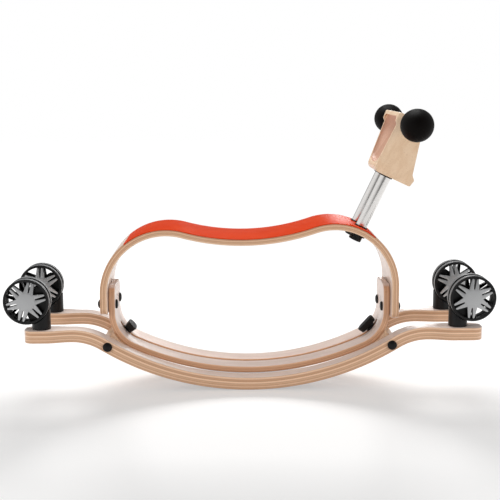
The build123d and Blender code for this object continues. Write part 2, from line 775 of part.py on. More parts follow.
for corner, (sign, side) in corners.items():
    foot = (sign * castor_reach, side * castor_y)
    axle_point = (foot[0] + sign * castor_trail, foot[1], wheel_z)
    middle = Plane(origin=(*foot, barrel_base), x_dir=(sign, 0, 0), z_dir=(0, -sign, 0))
    axle_plane = Plane(origin=axle_point, x_dir=(1, 0, 0), z_dir=(0, 1, 0))
    with BuildPart() as housing:
        with BuildSketch(Plane.XY.offset(barrel_base)):
            with Locations(foot):
                Circle(barrel_radius)
        extrude(amount=barrel_height)
        # The wheels' space is cut from the barrel and leaves the web between them.
        for face in (1, -1):
            wheel_side = Plane(
                origin=(axle_point[0], foot[1] + face * web_thickness / 2, wheel_z),
                x_dir=(1, 0, 0),
                z_dir=(0, face, 0),
            )
            with BuildSketch(wheel_side):
                Circle(wheel_radius + wheel_clearance)
            extrude(amount=barrel_radius, mode=Mode.SUBTRACT)
        # The web keeps inside the wheels' outline and runs from the barrel up and over to the axle's boss.
        with BuildSketch(middle):
            with BuildLine():
                Polyline(
                    (-barrel_radius, barrel_height / 4),
                    (-barrel_radius, axle_height + web_height),
                    (castor_trail * 0.3, axle_height + web_height),
                    (castor_trail + axle_boss_radius * 0.7, axle_height + axle_boss_radius * 0.7),
                    (castor_trail + axle_boss_radius * 0.7, axle_height - axle_boss_radius * 0.7),
                    (barrel_radius, barrel_height / 4),
                    close=True,
                )
            make_face()
            with Locations((castor_trail, axle_height)):
                Circle(wheel_radius - web_inset, mode=Mode.INTERSECT)
                Circle(axle_boss_radius)
        extrude(amount=web_thickness / 2, both=True)
        with BuildSketch(Plane.XY.offset(barrel_base)):
            with Locations(foot):
                Circle(stem_radius + axle_clearance)
        extrude(amount=stem_shoulder_height, mode=Mode.SUBTRACT)
        with BuildSketch(Plane.XY.offset(barrel_base)):
            with Locations(foot):
                Circle(stem_tip_radius + axle_clearance)
        extrude(amount=stem_height, mode=Mode.SUBTRACT)
        with BuildSketch(axle_plane):
            Circle(axle_radius)
        extrude(amount=web_thickness, both=True, mode=Mode.SUBTRACT)
    finish(housing.part, f"castor_housing_{corner}")

    with BuildPart() as axle:
        with BuildSketch(axle_plane):
            Circle(axle_radius)
        extrude(amount=pair_width / 2 - trim_recess - trim_thickness - wheel_gap, both=True)
    finish(axle.part, f"castor_axle_{corner}")

    for position, outward in (("inner", -side), ("outer", side)):
        hub_face = Plane(
            origin=(axle_point[0], foot[1] + outward * (web_thickness / 2 + wheel_gap), wheel_z),
            x_dir=(1, 0, 0),
            z_dir=(0, outward, 0),
        )
        turn = castor_turns[corner]
        trim_base = wheel_width - trim_recess - trim_thickness
        with BuildPart() as wheel:
            with BuildSketch(hub_face.offset(trim_base - spoke_depth)):
                star(rim_inner + spoke_bite, turn)
            extrude(amount=spoke_depth)
            with BuildSketch(hub_face):
                Circle(rim_outer)
                Circle(rim_inner, mode=Mode.SUBTRACT)
            extrude(amount=wheel_width)
            with BuildSketch(hub_face):
                Circle(hub_radius)
            extrude(amount=trim_base)
            with BuildSketch(hub_face):
                Circle(axle_radius + axle_clearance)
            extrude(amount=wheel_width, mode=Mode.SUBTRACT)
        finish(wheel.part, f"wheel_{corner}_{position}")

        with BuildPart() as tyre:
            with BuildSketch(hub_face):
                Circle(wheel_radius)
                Circle(rim_outer, mode=Mode.SUBTRACT)
            extrude(amount=wheel_width)
            rims = tyre.edges().filter_by(GeomType.CIRCLE)
            tread = [edge for edge in rims if abs(edge.radius - wheel_radius) < 0.01]
            fillet(tread, tyre_edge)
        finish(tyre.part, f"tyre_{corner}_{position}")

        with BuildPart() as trim:
            with BuildSketch(hub_face.offset(trim_base)):
                star(trim_reach, turn)
            extrude(amount=trim_thickness)
        finish(trim.part, f"wheel_trim_{corner}_{position}")
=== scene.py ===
"""A child's bent-plywood rocking horse with castors on its rocker ends, dressed piece by piece in the
order in which it is put together. X is forward, Y the rider's left, Z up; all lengths are metres."""
import math
import bmesh
import bpy
import numpy as np
from mathutils import Matrix, Vector


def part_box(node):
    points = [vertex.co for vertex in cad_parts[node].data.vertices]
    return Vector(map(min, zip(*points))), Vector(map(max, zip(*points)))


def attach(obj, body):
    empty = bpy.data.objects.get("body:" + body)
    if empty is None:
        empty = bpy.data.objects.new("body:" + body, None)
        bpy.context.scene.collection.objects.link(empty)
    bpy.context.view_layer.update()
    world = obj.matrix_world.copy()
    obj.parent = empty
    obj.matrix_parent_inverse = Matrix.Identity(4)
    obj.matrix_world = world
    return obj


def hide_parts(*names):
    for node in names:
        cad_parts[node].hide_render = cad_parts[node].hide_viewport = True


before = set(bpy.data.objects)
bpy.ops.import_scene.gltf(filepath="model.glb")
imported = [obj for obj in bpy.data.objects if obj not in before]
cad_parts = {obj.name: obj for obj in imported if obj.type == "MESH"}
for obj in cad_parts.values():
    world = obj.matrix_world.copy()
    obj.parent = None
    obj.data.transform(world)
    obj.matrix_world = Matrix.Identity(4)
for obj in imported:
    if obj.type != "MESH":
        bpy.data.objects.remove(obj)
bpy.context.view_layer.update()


# ---------------------------------------------------------------- camera
# Stands low at the toy's right side, a little above the handle, and looks slightly down on the seat.
# The lens is long, so the far rocker and the far wheels come out only a little smaller.
pitch, roll = math.radians(9.164), math.radians(0.45)
forward = Vector((0, math.cos(pitch), -math.sin(pitch)))
level_up = Vector((0, math.sin(pitch), math.cos(pitch)))
right = Vector((1, 0, 0)) * math.cos(roll) - level_up * math.sin(roll)
up = level_up * math.cos(roll) + Vector((1, 0, 0)) * math.sin(roll)
lens = bpy.data.cameras.new("side_camera")
lens.lens, lens.sensor_width, lens.shift_x, lens.shift_y = 76.32, 36, 0.0368, 0.0003
camera = bpy.data.objects.new("side_camera", lens)
camera.matrix_world = Matrix((
    (right.x, up.x, -forward.x, -0.02492),
    (right.y, up.y, -forward.y, -1.54057),
    (right.z, up.z, -forward.z, 0.44093),
    (0, 0, 0, 1)))
bpy.context.collection.objects.link(camera)
bpy.context.scene.camera = camera


# ---------------------------------------------------------------- rockers
# Two strips of beech veneers glued in a hot press round a form: one long arc to rock on, an easy
# shoulder each way, and a flat end that widens to a paddle for the castors. The sawn sides show the
# veneers as fine lines.
rocker_ply, rocker_radius, shoulder_radius, flat_height = 0.018, 0.408, 0.075, 0.072
rocker_inner, rocker_outer, paddle_start, paddle_blend = 0.045, 0.069, 0.256, 0.034
tip_corner, ply_edge = 0.014, 0.0012


def linear(hex_colour):
    """sRGB hex to linear RGBA: each channel c becomes c/12.92 when small, else ((c+0.055)/1.055)^2.4."""
    c = np.array([int(hex_colour[i:i + 2], 16) / 255 for i in (1, 3, 5)])
    return (*np.where(c < 0.04045, c / 12.92, ((c + 0.055) / 1.055) ** 2.4), 1.0)


def add(tree, kind, feeds=(), **settings):
    """Adds one node; feeds pairs each input's name or number with a value or with another socket."""
    made = tree.nodes.new("ShaderNode" + kind)
    for key, value in settings.items():
        setattr(made, key, value)
    for key, value in feeds:
        if isinstance(value, bpy.types.NodeSocket):
            tree.links.new(value, made.inputs[key])
        else:
            made.inputs[key].default_value = value
    return made


def finish_named(name):
    """A new material with a bare Principled shader; returns the material, its tree and the shader."""
    material = bpy.data.materials.new(name)
    material.use_nodes = True
    return material, material.node_tree, material.node_tree.nodes["Principled BSDF"]


def ramp(tree, feed, *stops):
    """A colour ramp over a factor, from (place, hex) stops."""
    made = add(tree, "ValToRGB", [("Fac", feed)])
    for _ in stops[2:]:
        made.color_ramp.elements.new(0.5)
    for element, (place, colour) in zip(made.color_ramp.elements, stops):
        element.position, element.color = place, linear(colour)
    return made.outputs["Color"]


def bent_plywood(name, face_light_sheen, face_dark_sheen, edge_light, edge_dark, line, veneer):
    """Clear-lacquered bent beech plywood. The strip attribute holds the way along the strip, across it
    and through it. Faces show long straight grain with short dark pores; sides show the stacked
    veneers, every second one as darker end grain, with a thin glue line between. The veneers are drawn
    about twice as thick as real ones, which would be too fine to show. Satin lacquer."""
    material, tree, shader = finish_named(name)
    strip = add(tree, "Attribute", attribute_name="strip").outputs["Vector"]
    parts = add(tree, "SeparateXYZ", [("Vector", strip)]).outputs
    normal = add(tree, "SeparateXYZ", [("Vector", add(tree, "NewGeometry").outputs["Normal"])]).outputs
    sideways = add(tree, "Math", [(0, normal["Y"])], operation="ABSOLUTE").outputs[0]
    side = add(tree, "MapRange", [("Value", sideways), ("From Min", 0.45), ("From Max", 0.7)]).outputs[0]
    # Grain: about 2 mm wide figure drawn out over some 60 mm, and pores of 0.7 by 6 mm.
    stretched = add(tree, "Mapping", [("Vector", strip), ("Scale", (16, 420, 420))]).outputs[0]
    figure = add(tree, "TexNoise", [("Vector", stretched), ("Scale", 1.0), ("Detail", 4.0),
                                    ("Distortion", 0.4)]).outputs[0]
    fine = add(tree, "Mapping", [("Vector", strip), ("Scale", (160, 1400, 1400))]).outputs[0]
    pores = add(tree, "TexNoise", [("Vector", fine), ("Scale", 1.0), ("Detail", 2.0)]).outputs[0]
    broad = add(tree, "Mapping", [("Vector", strip), ("Scale", (7, 30, 30))]).outputs[0]
    cloud = add(tree, "TexNoise", [("Vector", broad), ("Scale", 1.0), ("Detail", 2.0)]).outputs[0]
    grain = add(tree, "Mix", [("Factor", 0.35), ("A", figure), ("B", pores)], data_type="FLOAT").outputs[0]
    grain = add(tree, "Mix", [("Factor", 0.4), ("A", grain), ("B", cloud)], data_type="FLOAT").outputs[0]
    # The face colours are paler and greyer than bare beech: partly the wood's own tone, partly painted sheen standing
    # for the lacquer's reflection of the bright room.
    face = ramp(tree, grain, (0.38, face_dark_sheen), (0.62, face_light_sheen))
    # Side: veneer number from the depth, wavering by a tenth of a veneer along the strip.
    waver = add(tree, "Mapping", [("Vector", strip), ("Scale", (9, 0, 60))]).outputs[0]
    waver = add(tree, "TexNoise", [("Vector", waver), ("Scale", 1.0), ("Detail", 1.0)]).outputs[0]
    depth = add(tree, "Math", [(0, parts["Z"]), (1, veneer)], operation="DIVIDE").outputs[0]
    depth = add(tree, "Math", [(0, waver), (1, 0.35), (2, depth)], operation="MULTIPLY_ADD").outputs[0]
    part = add(tree, "Math", [(0, depth)], operation="FRACT").outputs[0]
    number = add(tree, "Math", [(0, depth)], operation="FLOOR").outputs[0]
    tone = add(tree, "TexWhiteNoise", [("W", number)], noise_dimensions="1D").outputs["Value"]
    crossed = add(tree, "Math", [(0, number), (1, 2.0)], operation="FLOORED_MODULO").outputs[0]
    tone = add(tree, "Mix", [("Factor", 0.6), ("A", tone), ("B", crossed)], data_type="FLOAT").outputs[0]
    ends = add(tree, "Mapping", [("Vector", strip), ("Scale", (300, 300, 1200))]).outputs[0]
    ends = add(tree, "TexNoise", [("Vector", ends), ("Scale", 1.0), ("Detail", 2.0)]).outputs[0]
    tone = add(tree, "Mix", [("Factor", 0.25), ("A", tone), ("B", ends)], data_type="FLOAT").outputs[0]
    tone = add(tree, "Mix", [("Factor", 0.2), ("A", tone), ("B", cloud)], data_type="FLOAT").outputs[0]
    sawn = ramp(tree, tone, (0.25, edge_dark), (0.75, edge_light))
    glue = add(tree, "MapRange", [("Value", part), ("From Min", 0.0), ("From Max", 0.35),
                                  ("To Min", 0.9), ("To Max", 0.0)]).outputs[0]
    sawn = add(tree, "Mix", [("Factor", glue), ("A", sawn), ("B", linear(line))], data_type="RGBA").outputs["Result"]
    colour = add(tree, "Mix", [("Factor", side), ("A", face), ("B", sawn)], data_type="RGBA").outputs["Result"]
    tree.links.new(colour, shader.inputs["Base Color"])
    rough = add(tree, "MapRange", [("Value", pores), ("To Min", 0.34), ("To Max", 0.46)]).outputs[0]
    tree.links.new(rough, shader.inputs["Roughness"])
    bump = add(tree, "Bump", [("Height", pores), ("Strength", 0.12), ("Distance", 0.0003)]).outputs[0]
    tree.links.new(bump, shader.inputs["Normal"])
    shader.inputs["IOR"].default_value = 1.5
    shader.inputs["Coat Weight"].default_value = 0.25
    shader.inputs["Coat Roughness"].default_value = 0.2
    return material


def bend_line(start, heading, bends, s):
    """Points and headings at lengths s along straights and arcs: each bend is (length, curvature). On an
    arc the heading grows evenly by curvature times length, and the point moves by the difference of
    the heading's sine and cosine over the curvature."""
    x, z, h = np.full(s.shape, start[0]), np.full(s.shape, start[1]), np.full(s.shape, heading)
    at_x, at_z, turned, passed = start[0], start[1], heading, 0.0
    for length, bend in bends:
        u = np.clip(s - passed, 0, length)
        if bend:
            step_x = (np.sin(turned + bend * u) - np.sin(turned)) / bend
            step_z = (np.cos(turned) - np.cos(turned + bend * u)) / bend
            end = ((np.sin(turned + bend * length) - np.sin(turned)) / bend,
                   (np.cos(turned) - np.cos(turned + bend * length)) / bend)
        else:
            step_x, step_z = np.cos(turned) * u, np.sin(turned) * u
            end = np.cos(turned) * length, np.sin(turned) * length
        here = s >= passed
        x, z = np.where(here, at_x + step_x, x), np.where(here, at_z + step_z, z)
        h = np.where(here, turned + bend * u, h)
        at_x, at_z, turned, passed = at_x + end[0], at_z + end[1], turned + bend * length, passed + length
    return x, z, h


def mesh_piece(name, points, faces, material, attribute=None, sharp=35):
    """Turns arrays of points and of faces into one closed object at the origin, faces outwards."""
    mesh = bpy.data.meshes.new(name)
    mesh.from_pydata(points.tolist(), [], [list(f) for f in faces])
    if attribute is not None:
        mesh.attributes.new("strip", "FLOAT_VECTOR", "POINT").data.foreach_set("vector", attribute.ravel())
    shape = bmesh.new()
    shape.from_mesh(mesh)
    bmesh.ops.remove_doubles(shape, verts=shape.verts, dist=1e-7)
    bmesh.ops.dissolve_degenerate(shape, edges=shape.edges, dist=1e-7)
    bmesh.ops.recalc_face_normals(shape, faces=shape.faces)
    shape.to_mesh(mesh)
    shape.free()
    mesh.shade_smooth()
    mesh.set_sharp_from_angle(angle=math.radians(sharp))
    mesh.materials.append(material)
    piece = bpy.data.objects.new(name, mesh)
    bpy.context.collection.objects.link(piece)
    return piece


def ring_faces(rings, around, first=0):
    """Quads between successive closed rings of points, and one flat cap at each end."""
    i, j = np.meshgrid(np.arange(rings - 1), np.arange(around), indexing="ij")
    a, b = first + i * around + j, first + i * around + (j + 1) % around
    quads = np.stack([a, b, b + around, a + around], -1).reshape(-1, 4).tolist()
    last = first + (rings - 1) * around
    return quads + [list(range(first, first + around)), list(range(last, last + around))]


def bent_strip(start, heading, bends, across, through, corner, edge, side=1, middle=0.0, span=None):
    """A rounded rectangle carried along a bent line. Across it runs between two widths about its middle
    and through it between two depths on one side of the line; each may be a function of the way along.
    Towards each end the widths close in on a quarter circle, and the last edge is eased."""
    total = sum(length for length, _ in bends)
    low, high = span or (0.0, total)
    quarter = 1 - np.cos(np.linspace(0, np.pi / 2, 9))
    joints = np.cumsum([0] + [length for length, _ in bends])

    def samples(length, bend):
        """At least two, one every 20 mm, one every 0.022 rad, and 60 to 200 mm on a straight that widens."""
        widens = bend == 0 and callable(across[0])
        return 2 + int(max(length / 0.02, length * abs(bend) / 0.022, 60 * length * widens / 0.2))

    steps = [np.linspace(joints[k], joints[k + 1], samples(*bends[k])) for k in range(len(bends))]
    s = np.concatenate([*steps, low + quarter * corner, high - quarter * corner,
                        low + quarter * edge, high - quarter * edge])
    s = np.unique(np.round(s[(s >= low) & (s <= high)], 7))
    x, z, h = bend_line(start, heading, bends, s)
    near = np.minimum(s - low, high - s)
    eased = edge - np.sqrt(np.maximum(edge ** 2 - np.maximum(edge - near, 0) ** 2, 0))
    closed = eased + corner - np.sqrt(np.maximum(corner ** 2 - np.maximum(corner - near, 0) ** 2, 0))
    y0, y1 = (np.broadcast_to(w(s) if callable(w) else w, s.shape).astype(float) for w in across)
    d0, d1 = (np.broadcast_to(d(s) if callable(d) else d, s.shape).astype(float) for d in through)
    radius = np.clip(edge - 0.9 * eased, 1e-5, None)
    inner = np.where(y0 < 0, radius, np.clip(np.minimum(radius, y0), 1e-5, None))
    y0, y1, d0, d1 = y0 + np.where(y0 < 0, closed, 0), y1 - closed, d0 + eased, d1 - eased
    turn = np.concatenate([np.linspace(q, q + np.pi / 2, 5) for q in (0, np.pi / 2, np.pi, 3 * np.pi / 2)])
    way = np.repeat([(1, 1), (-1, 1), (-1, -1), (1, -1)], 5, axis=0)
    e = np.where(way[:, 0] > 0, radius[:, None], inner[:, None])
    y = np.where(way[:, 0] > 0, y1[:, None] - e, y0[:, None] + e) + e * np.cos(turn)
    d = np.where(way[:, 1] > 0, d1[:, None] - e, d0[:, None] + e) + e * np.sin(turn)
    points = np.stack([x[:, None] - side * d * np.sin(h)[:, None], y + middle,
                       z[:, None] + side * d * np.cos(h)[:, None]], -1)
    strip = np.stack([np.broadcast_to(s[:, None], y.shape), y + middle, d], -1)
    return points.reshape(-1, 3), ring_faces(len(s), len(turn)), strip.reshape(-1, 3)


def joined(*shells):
    """Several closed shells of points, faces and strip places as one."""
    count, points, faces, strips = 0, [], [], []
    for p, f, t in shells:
        points.append(p)
        strips.append(t)
        faces += [[k + count for k in face] for face in f]
        count += len(p)
    return np.concatenate(points), faces, np.concatenate(strips)


# Face colours: beech with painted sheen, paler and greyer than the bare wood.
rocker_beech = bent_plywood("bent_beech_plywood_rocker", "#e6d5cb", "#d0bbb0", "#ecc6a5", "#c99b78", "#b08263",
                            veneer=0.0030)
shoulder = math.acos(1 - flat_height / (rocker_radius + shoulder_radius))
shoulder_x = (rocker_radius + shoulder_radius) * math.sin(shoulder)


def widened(narrow, wide):
    """An edge of the strip, as a function of the way along: it eases from its place on the narrow strip to
    its place on the paddle by 3t^2 - 2t^3, with t growing from 0 to 1 over the blend."""
    def edge(s):
        x, _, _ = bend_line((low[0], low[2] + flat_height), 0.0, bends, s)
        t = np.clip((np.abs(x) - paddle_start) / paddle_blend, 0, 1)
        return narrow + (wide - narrow) * (3 * t ** 2 - 2 * t ** 3)
    return edge


for name, mirror in (("rocker_left", 1), ("rocker_right", -1)):
    low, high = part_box(name)
    bends = [(-shoulder_x - low[0], 0), (shoulder_radius * shoulder, -1 / shoulder_radius),
             (2 * rocker_radius * shoulder, 1 / rocker_radius), (shoulder_radius * shoulder, -1 / shoulder_radius),
             (high[0] - shoulder_x, 0)]
    half, middle = (high[1] - low[1]) / 2, (high[1] + low[1]) / 2
    strip_low, strip_high = sorted((mirror * rocker_inner - middle, mirror * rocker_outer - middle))
    shell = bent_strip((low[0], low[2] + flat_height), 0.0, bends,
                       (widened(strip_low, -half), widened(strip_high, half)),
                       (0, rocker_ply), tip_corner, ply_edge, middle=middle)
    rocker = mesh_piece("bent_" + name, shell[0], shell[1], rocker_beech, shell[2])
    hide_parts(name)
    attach(rocker, "horse")


# ---------------------------------------------------------------- crossbars and their rods
# Two short beech blocks between the rockers, hollowed on top to the cradle's corner. A steel rod runs
# through each from rocker to rocker, and a pressed steel insert takes the clamp's screw.
def solid_beech(name, light, dark, fleck, turn, coat=0.2):
    """Clear-lacquered solid beech: straight rings some 3 mm apart seen as soft bands along the grain,
    and short dark medullary flecks about 0.5 by 4 mm. The grain runs along Z after the given turn."""
    material, tree, shader = finish_named(name)
    place = add(tree, "TexCoord").outputs["Object"]
    turned = add(tree, "Mapping", [("Vector", place), ("Rotation", turn)]).outputs[0]
    drawn = add(tree, "Mapping", [("Vector", turned), ("Scale", (110, 110, 9))]).outputs[0]
    bands = add(tree, "TexNoise", [("Vector", drawn), ("Scale", 1.0), ("Detail", 4.0),
                                   ("Distortion", 0.8)]).outputs[0]
    short = add(tree, "Mapping", [("Vector", turned), ("Scale", (1600, 1600, 190))]).outputs[0]
    flecks = add(tree, "TexNoise", [("Vector", short), ("Scale", 1.0), ("Detail", 2.0)]).outputs[0]
    body = ramp(tree, bands, (0.36, dark), (0.64, light))
    share = add(tree, "MapRange", [("Value", flecks), ("From Min", 0.56), ("From Max", 0.72),
                                   ("To Max", 0.55)]).outputs[0]
    colour = add(tree, "Mix", [("Factor", share), ("A", body), ("B", linear(fleck))], data_type="RGBA").outputs["Result"]
    tree.links.new(colour, shader.inputs["Base Color"])
    rough = add(tree, "MapRange", [("Value", bands), ("To Min", 0.36), ("To Max", 0.48)]).outputs[0]
    tree.links.new(rough, shader.inputs["Roughness"])
    bump = add(tree, "Bump", [("Height", flecks), ("Strength", 0.1), ("Distance", 0.0003)]).outputs[0]
    tree.links.new(bump, shader.inputs["Normal"])
    shader.inputs["IOR"].default_value = 1.5
    shader.inputs["Coat Weight"].default_value = coat
    shader.inputs["Coat Roughness"].default_value = 0.2
    return material


def eased_copy(node, name, width, material, segments=3):
    """The node's own shape with its loose triangles joined and its sharp edges rounded."""
    shape = bmesh.new()
    shape.from_mesh(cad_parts[node].data)
    bmesh.ops.remove_doubles(shape, verts=shape.verts, dist=1e-6)
    bmesh.ops.dissolve_limit(shape, angle_limit=math.radians(1), verts=shape.verts, edges=shape.edges)
    mesh = bpy.data.meshes.new(name)
    shape.to_mesh(mesh)
    shape.free()
    mesh.shade_smooth()
    mesh.set_sharp_from_angle(angle=math.radians(35))
    mesh.materials.clear()
    mesh.materials.append(material)
    piece = bpy.data.objects.new(name, mesh)
    bpy.context.collection.objects.link(piece)
    if width:
        ease = piece.modifiers.new("eased edges", "BEVEL")
        ease.width, ease.segments, ease.limit_method, ease.angle_limit = width, segments, "ANGLE", math.radians(35)
        ease.harden_normals = True
    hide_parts(node)
    return piece


def zinc_plated_steel():
    """Zinc-plated steel, rolled thread and turned head: bright grey with a faintly cloudy blue-grey
    film, so it mirrors softly."""
    material, tree, shader = finish_named("zinc_plated_steel")
    place = add(tree, "TexCoord").outputs["Object"]
    cloud = add(tree, "TexNoise", [("Vector", place), ("Scale", 350.0), ("Detail", 3.0)]).outputs[0]
    tree.links.new(ramp(tree, cloud, (0.3, "#a9adb0"), (0.7, "#c9cbcc")), shader.inputs["Base Color"])
    rough = add(tree, "MapRange", [("Value", cloud), ("To Min", 0.28), ("To Max", 0.42)]).outputs[0]
    tree.links.new(rough, shader.inputs["Roughness"])
    shader.inputs["Metallic"].default_value = 1.0
    return material


def wear(node, material):
    """A CAD node keeps its mesh and takes a finish."""
    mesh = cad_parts[node].data
    mesh.materials.clear()
    mesh.materials.append(material)


crossbar_beech = solid_beech("lacquered_beech_crossbar", "#e3c3a6", "#cfa988", "#a67f60", (math.radians(90), 0, 0))
zinc = zinc_plated_steel()
for name in ("crossbar_front", "crossbar_back"):
    block = eased_copy(name, "block_" + name, 0.0012, crossbar_beech)
    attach(block, "horse")
for name in ("crossbar_rods", "clamp_inserts", "side_bolts", "castor_stems", "grip_pegs"):
    wear(name, zinc)


# ---------------------------------------------------------------- cradle
# A thinner beech ply strip bent into a shallow U that lies between the rockers. Its bottom has the
# rockers' curve and one long routed slot for the clamps' screws; its uprights take the seat.
cradle_ply, cradle_radius, cradle_corner, slot_half, upright_corner = 0.009, 0.409, 0.058, 0.0045, 0.016
slot_turn = math.radians(23)
# Face colours: beech with painted sheen, paler and greyer than the bare wood.
cradle_beech = bent_plywood("bent_beech_plywood_cradle", "#e4d2c8", "#cdb7ab", "#deb08c", "#c79571", "#ad7f61",
                            veneer=0.0024)
low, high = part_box("cradle")
cradle_end, cradle_half = high[0], high[1]
corner_x = cradle_end - cradle_corner
corner_z = low[2] + cradle_radius - math.sqrt((cradle_radius - cradle_corner) ** 2 - corner_x ** 2)
corner_turn = math.acos(corner_x / (cradle_radius - cradle_corner))
bends = [(high[2] - corner_z, 0), (cradle_corner * corner_turn, 1 / cradle_corner),
         (cradle_radius * (math.pi - 2 * corner_turn), 1 / cradle_radius),
         (cradle_corner * corner_turn, 1 / cradle_corner), (high[2] - corner_z, 0)]
slot_start = bends[0][0] + cradle_corner * slot_turn
slot_end = sum(length for length, _ in bends) - slot_start


def slot_side(s):
    """Half the slot's width along the strip: its full half width, falling to nothing on a half circle at each end."""
    past = np.maximum(slot_half - np.minimum(s - slot_start, slot_end - s), 0)
    return np.sqrt(np.maximum(slot_half ** 2 - past ** 2, 0))


# The corner bend is split where the slot's round end starts and stops, so that both have a sample.
past_slot_end = bends[1][0] + bends[0][0] - slot_start - slot_half
bends_fine = [(length, bends[1][1]) for length in (slot_start - bends[0][0], slot_half, past_slot_end)]
bends_fine = [bends[0], *bends_fine, bends[2], *bends_fine[::-1], bends[4]]
half_bands = []
for mirror in (1, -1):
    shell = bent_strip((-cradle_end, high[2]), -math.pi / 2, bends_fine, (slot_side, cradle_half), (0, cradle_ply),
                       upright_corner, ply_edge)
    shell[0][:, 1] *= mirror
    half_bands.append(shell)
cradle = mesh_piece("bent_cradle", *joined(*half_bands)[:2], cradle_beech, joined(*half_bands)[2])
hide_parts("cradle")
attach(cradle, "horse")


# ---------------------------------------------------------------- seat
# The widest strip of beech ply, bent into an arch of two humps with a saddle between. Its top is
# faced with an orange high-pressure laminate, pressed on flat before bending and trimmed flush.
seat_ply, laminate_ply, saddle_radius, foot_corner, foot_rise = 0.010, 0.0012, 0.322, 0.010, 0.008
back_radius, front_radius, back_height, front_height = 0.0955, 0.0923, 0.2315, 0.2383
laminate_back, laminate_front = math.radians(129), math.radians(51)
# Face colours: beech with painted sheen, paler and greyer than the bare wood.
seat_beech = bent_plywood("bent_beech_plywood_seat", "#e4d0c2", "#cfb7a7", "#e9c3a0", "#c0906c", "#a1745a",
                          veneer=0.0026)


def orange_laminate():
    """High-pressure laminate, pressed under a matt plate: one even orange-red under a hard melamine face
    with hardly any sheen, the faint long ripple that bending leaves and a little fine dulling."""
    material, tree, shader = finish_named("orange_melamine_laminate")
    place = add(tree, "TexCoord").outputs["Object"]
    cloud = add(tree, "TexNoise", [("Vector", place), ("Scale", 22.0), ("Detail", 3.0)]).outputs[0]
    tree.links.new(ramp(tree, cloud, (0.3, "#cb3708"), (0.7, "#d13e0c")), shader.inputs["Base Color"])
    drawn = add(tree, "Mapping", [("Vector", place), ("Scale", (60, 6, 60))]).outputs[0]
    ripple = add(tree, "TexNoise", [("Vector", drawn), ("Scale", 1.0), ("Detail", 1.0)]).outputs[0]
    bump = add(tree, "Bump", [("Height", ripple), ("Strength", 0.08), ("Distance", 0.001)]).outputs[0]
    tree.links.new(bump, shader.inputs["Normal"])
    fine = add(tree, "TexNoise", [("Vector", place), ("Scale", 900.0), ("Detail", 2.0)]).outputs[0]
    rough = add(tree, "MapRange", [("Value", fine), ("To Min", 0.36), ("To Max", 0.44)]).outputs[0]
    tree.links.new(rough, shader.inputs["Roughness"])
    shader.inputs["IOR"].default_value = 1.5
    shader.inputs["Specular IOR Level"].default_value = 0.03
    return material


low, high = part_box("seat_frame")
seat_half = high[1]
back_hump = np.array([low[0] + back_radius, back_height - back_radius])
front_hump = np.array([high[0] - front_radius, front_height - front_radius])
apart = front_hump - back_hump
span_length = np.hypot(*apart)
reach_back, reach_front = saddle_radius + back_radius, saddle_radius + front_radius
along = (reach_back ** 2 - reach_front ** 2 + span_length ** 2) / (2 * span_length)
above = math.sqrt(reach_back ** 2 - along ** 2)
saddle = back_hump + (along * apart + above * np.array([-apart[1], apart[0]])) / span_length
back_joint = math.atan2(*(saddle - back_hump)[::-1])
front_joint = math.atan2(*(saddle - front_hump)[::-1])
front_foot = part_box("seat_frame")[0][2]
back_foot = front_foot + foot_rise
bends = [(back_hump[1] - back_foot, 0), (back_radius * (math.pi - back_joint), -1 / back_radius),
         (saddle_radius * (front_joint - back_joint), 1 / saddle_radius),
         (front_radius * front_joint, -1 / front_radius), (front_hump[1] - front_foot, 0)]
laminate_start = bends[0][0] + back_radius * (math.pi - laminate_back)
laminate_end = sum(length for length, _ in bends[:3]) + front_radius * (front_joint - laminate_front)
tiny = 2e-5
bends_stepped = [bends[0], (laminate_start - bends[0][0], bends[1][1]), (tiny, bends[1][1]),
                 (bends[1][0] + bends[0][0] - laminate_start - tiny, bends[1][1]), bends[2],
                 (front_radius * (front_joint - laminate_front) - tiny, bends[3][1]), (tiny, bends[3][1]),
                 (front_radius * laminate_front, bends[3][1]), bends[4]]


def top_depth(s):
    """Depth at which the wood starts: nothing at the ends, the laminate's thickness under it."""
    return np.where((s > laminate_start + tiny / 2) & (s < laminate_end - tiny / 2), laminate_ply, 0.0)


shell = bent_strip((low[0], back_foot), math.pi / 2, bends_stepped, (-seat_half, seat_half), (top_depth, seat_ply),
                   foot_corner, ply_edge, side=-1)
seat = mesh_piece("bent_seat", shell[0], shell[1], seat_beech, shell[2])
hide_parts("seat_frame")
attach(seat, "horse")
shell = bent_strip((low[0], back_foot), math.pi / 2, bends, (-seat_half, seat_half), (0, laminate_ply),
                   0.0006, 0.0004, side=-1, span=(laminate_start, laminate_end))
facing = mesh_piece("orange_facing", shell[0], shell[1], orange_laminate(), shell[2])
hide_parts("seat_laminate")
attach(facing, "horse")


